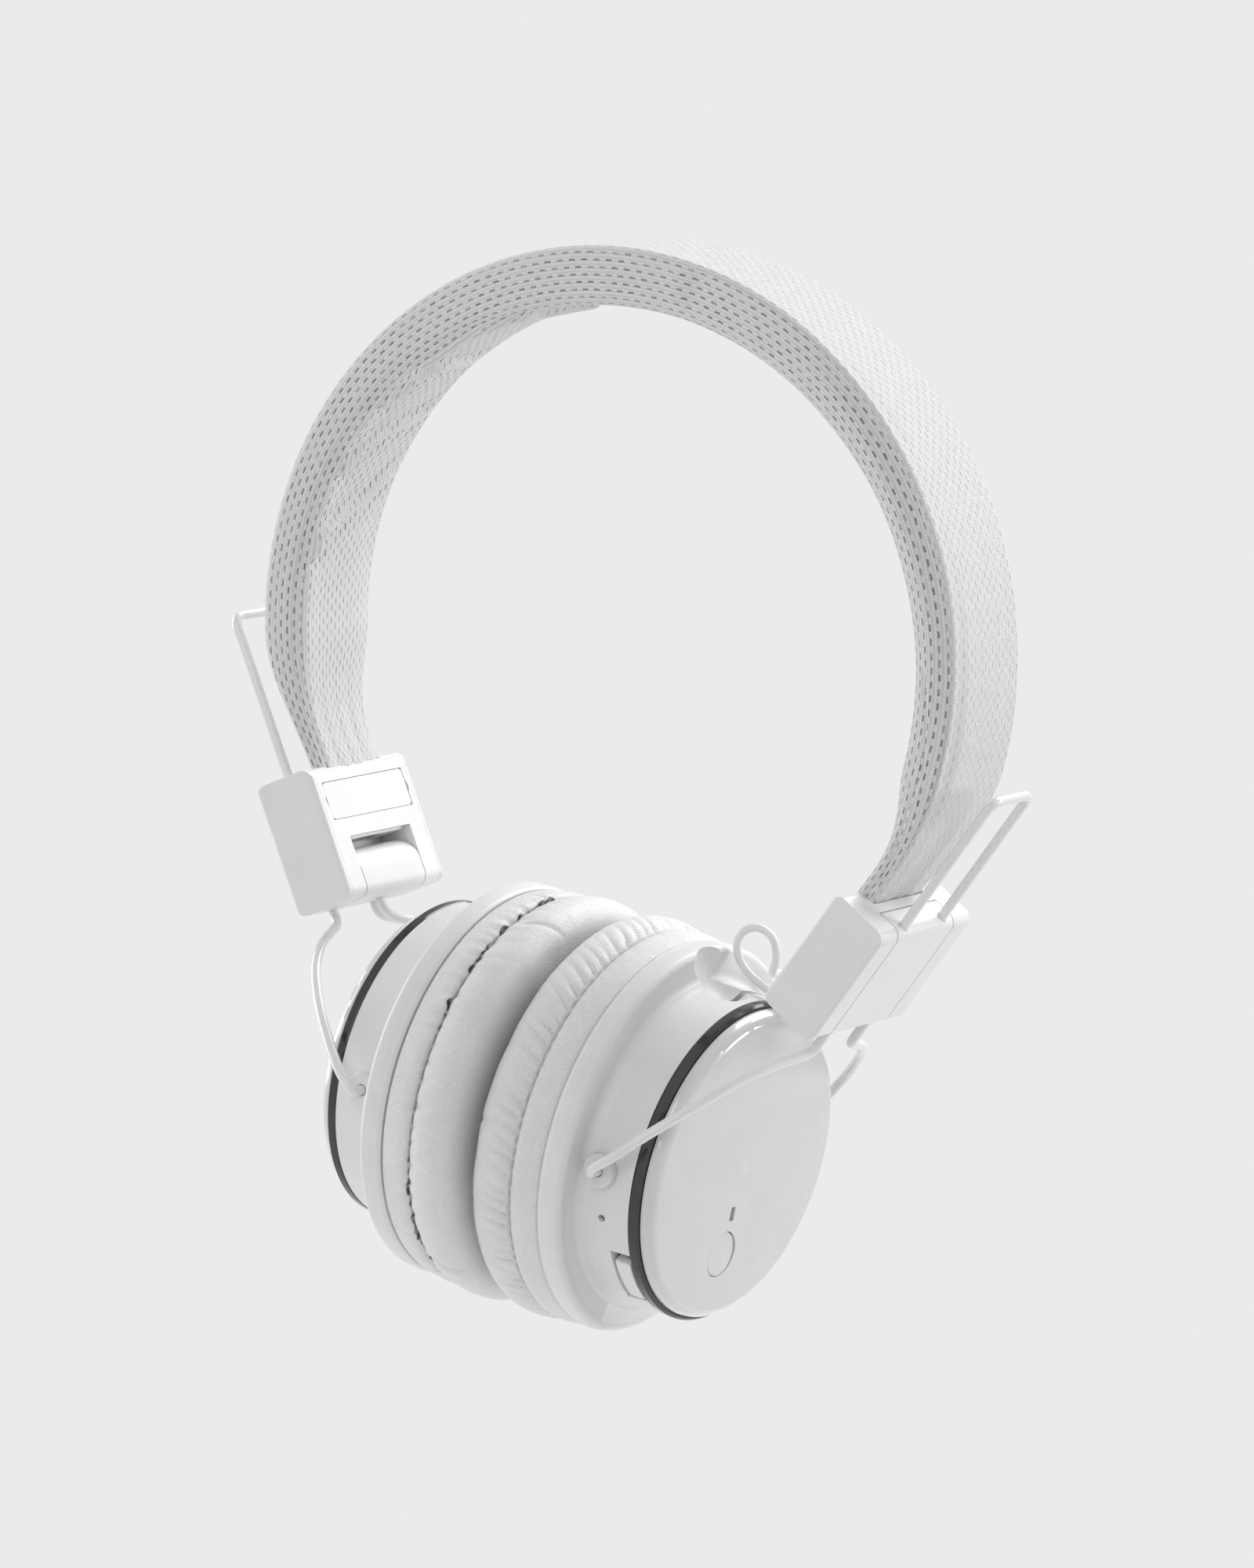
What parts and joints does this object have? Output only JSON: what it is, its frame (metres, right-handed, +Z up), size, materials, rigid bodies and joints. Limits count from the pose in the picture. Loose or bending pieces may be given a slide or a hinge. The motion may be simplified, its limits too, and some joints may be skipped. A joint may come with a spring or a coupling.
{
  "type": "folding wireless headphones",
  "caption": "White folding headphones with a padded fabric headband, folding hinge blocks, sliding wire yokes and round cushioned ear cups that tilt.",
  "frame": {"origin": "middle of the underside of the headband at its crown, where it rests on the head", "axes": "+X towards the right cup, +Y towards the back, +Z up"},
  "size_m": [0.1588, 0.0758, 0.193],
  "materials": {
    "knit": "knitted sleeve with a fine staggered perforation",
    "foam": "soft foam",
    "spring_steel": "cold rolled",
    "white_plastic": "satin",
    "pearl_plastic": "satin, slightly pearly",
    "gloss_white": "polished",
    "white_wire": "glossy paint with small chips",
    "black_chrome": "dark mirror",
    "leatherette": "pebbled",
    "white_vinyl": "smooth",
    "steel": "plain",
    "cloth": "thin woven cloth",
    "cone_film": "thin film",
    "board": "solder mask",
    "lens": "clear",
    "battery_wrap": "film wrap"
  },
  "bodies": {
    "headband": {"band_sleeve": "knit", "band_padding": "foam", "band_spring": "spring_steel", "hinge_housing_right": "white_plastic", "hinge_housing_left": "white_plastic", "hinge_cover_right": "white_plastic", "hinge_cover_left": "white_plastic", "label_plates": "pearl_plastic", "hinge_screws": "steel", "fold_pins": "steel", "detent_springs": "spring_steel"},
    "knuckle_right": {"knuckle_right": "white_plastic", "wire_clip_right": "spring_steel"},
    "yoke_right": {"yoke_right": "white_wire", "pin_caps_right": "steel", "lead_right": "white_vinyl"},
    "cup_right": {"cup_shell_right": "white_plastic", "trim_ring_right": "black_chrome", "cap_right": "gloss_white", "ear_cushion_right": "leatherette", "cushion_ring_right": "pearl_plastic", "baffle_right": "pearl_plastic", "dust_cloth_right": "cloth", "driver_frame_right": "steel", "driver_cone_right": "cone_film", "driver_magnet_right": "steel", "pivot_bushes_right": "white_plastic", "cup_screws_right": "steel", "lead_grommet_right": "white_vinyl", "circuit_board": "board", "call_switch": "steel", "microphone": "steel", "led_lens": "lens", "power_switch_base": "steel", "card_socket": "steel", "aux_socket": "pearl_plastic", "usb_socket": "steel"},
    "call_button": {"call_button": "gloss_white"},
    "power_switch": {"power_switch_knob": "white_plastic"},
    "knuckle_left": {"knuckle_left": "white_plastic", "wire_clip_left": "spring_steel"},
    "yoke_left": {"yoke_left": "white_wire", "pin_caps_left": "steel", "lead_left": "white_vinyl"},
    "cup_left": {"cup_shell_left": "white_plastic", "trim_ring_left": "black_chrome", "cap_left": "gloss_white", "ear_cushion_left": "leatherette", "cushion_ring_left": "pearl_plastic", "baffle_left": "pearl_plastic", "dust_cloth_left": "cloth", "driver_frame_left": "steel", "driver_cone_left": "cone_film", "driver_magnet_left": "steel", "pivot_bushes_left": "white_plastic", "cup_screws_left": "steel", "lead_grommet_left": "white_vinyl", "battery": "battery_wrap"}
  },
  "joints": [
    {"name": "fold_right", "type": "hinge", "parent": "headband", "child": "knuckle_right", "pos_m": [0.04876, 0, -0.11199], "axis": [0, 1, 0], "range_deg": [0, 8]},
    {"name": "fold_left", "type": "hinge", "parent": "headband", "child": "knuckle_left", "pos_m": [-0.04876, 0, -0.11199], "axis": [0, 1, 0], "range_deg": [-8, 0]},
    {"name": "extend_right", "type": "slide", "parent": "knuckle_right", "child": "yoke_right", "axis": [-0.497, 0, -0.8678], "range_m": [-0.004, 0.015], "deforming": ["ear_cushion_right"]},
    {"name": "extend_left", "type": "slide", "parent": "knuckle_left", "child": "yoke_left", "axis": [-0.497, 0, 0.8678], "range_m": [-0.015, 0.0011], "deforming": ["ear_cushion_left"]},
    {"name": "tilt_right", "type": "hinge", "parent": "yoke_right", "child": "cup_right", "pos_m": [0.0242, 0, -0.1471], "axis": [0.0489, 0.9988, 0], "range_deg": [-8, 8], "deforming": ["lead_right"]},
    {"name": "tilt_left", "type": "hinge", "parent": "yoke_left", "child": "cup_left", "pos_m": [-0.0253, 0, -0.1434], "axis": [0.0506, 0.9987, 0], "range_deg": [-8, 8], "deforming": ["lead_left"]},
    {"name": "call_press", "type": "slide", "parent": "cup_right", "child": "call_button", "axis": [-0.9957, 0.0487, 0.0785], "range_m": [0, 0.0004], "stiffness_N_per_m": 1500},
    {"name": "power_slide", "type": "hinge", "parent": "cup_right", "child": "power_switch", "pos_m": [0.0242, 0, -0.1471], "axis": [0.9957, -0.0487, -0.0785], "range_deg": [-4, 0]}
  ]
}
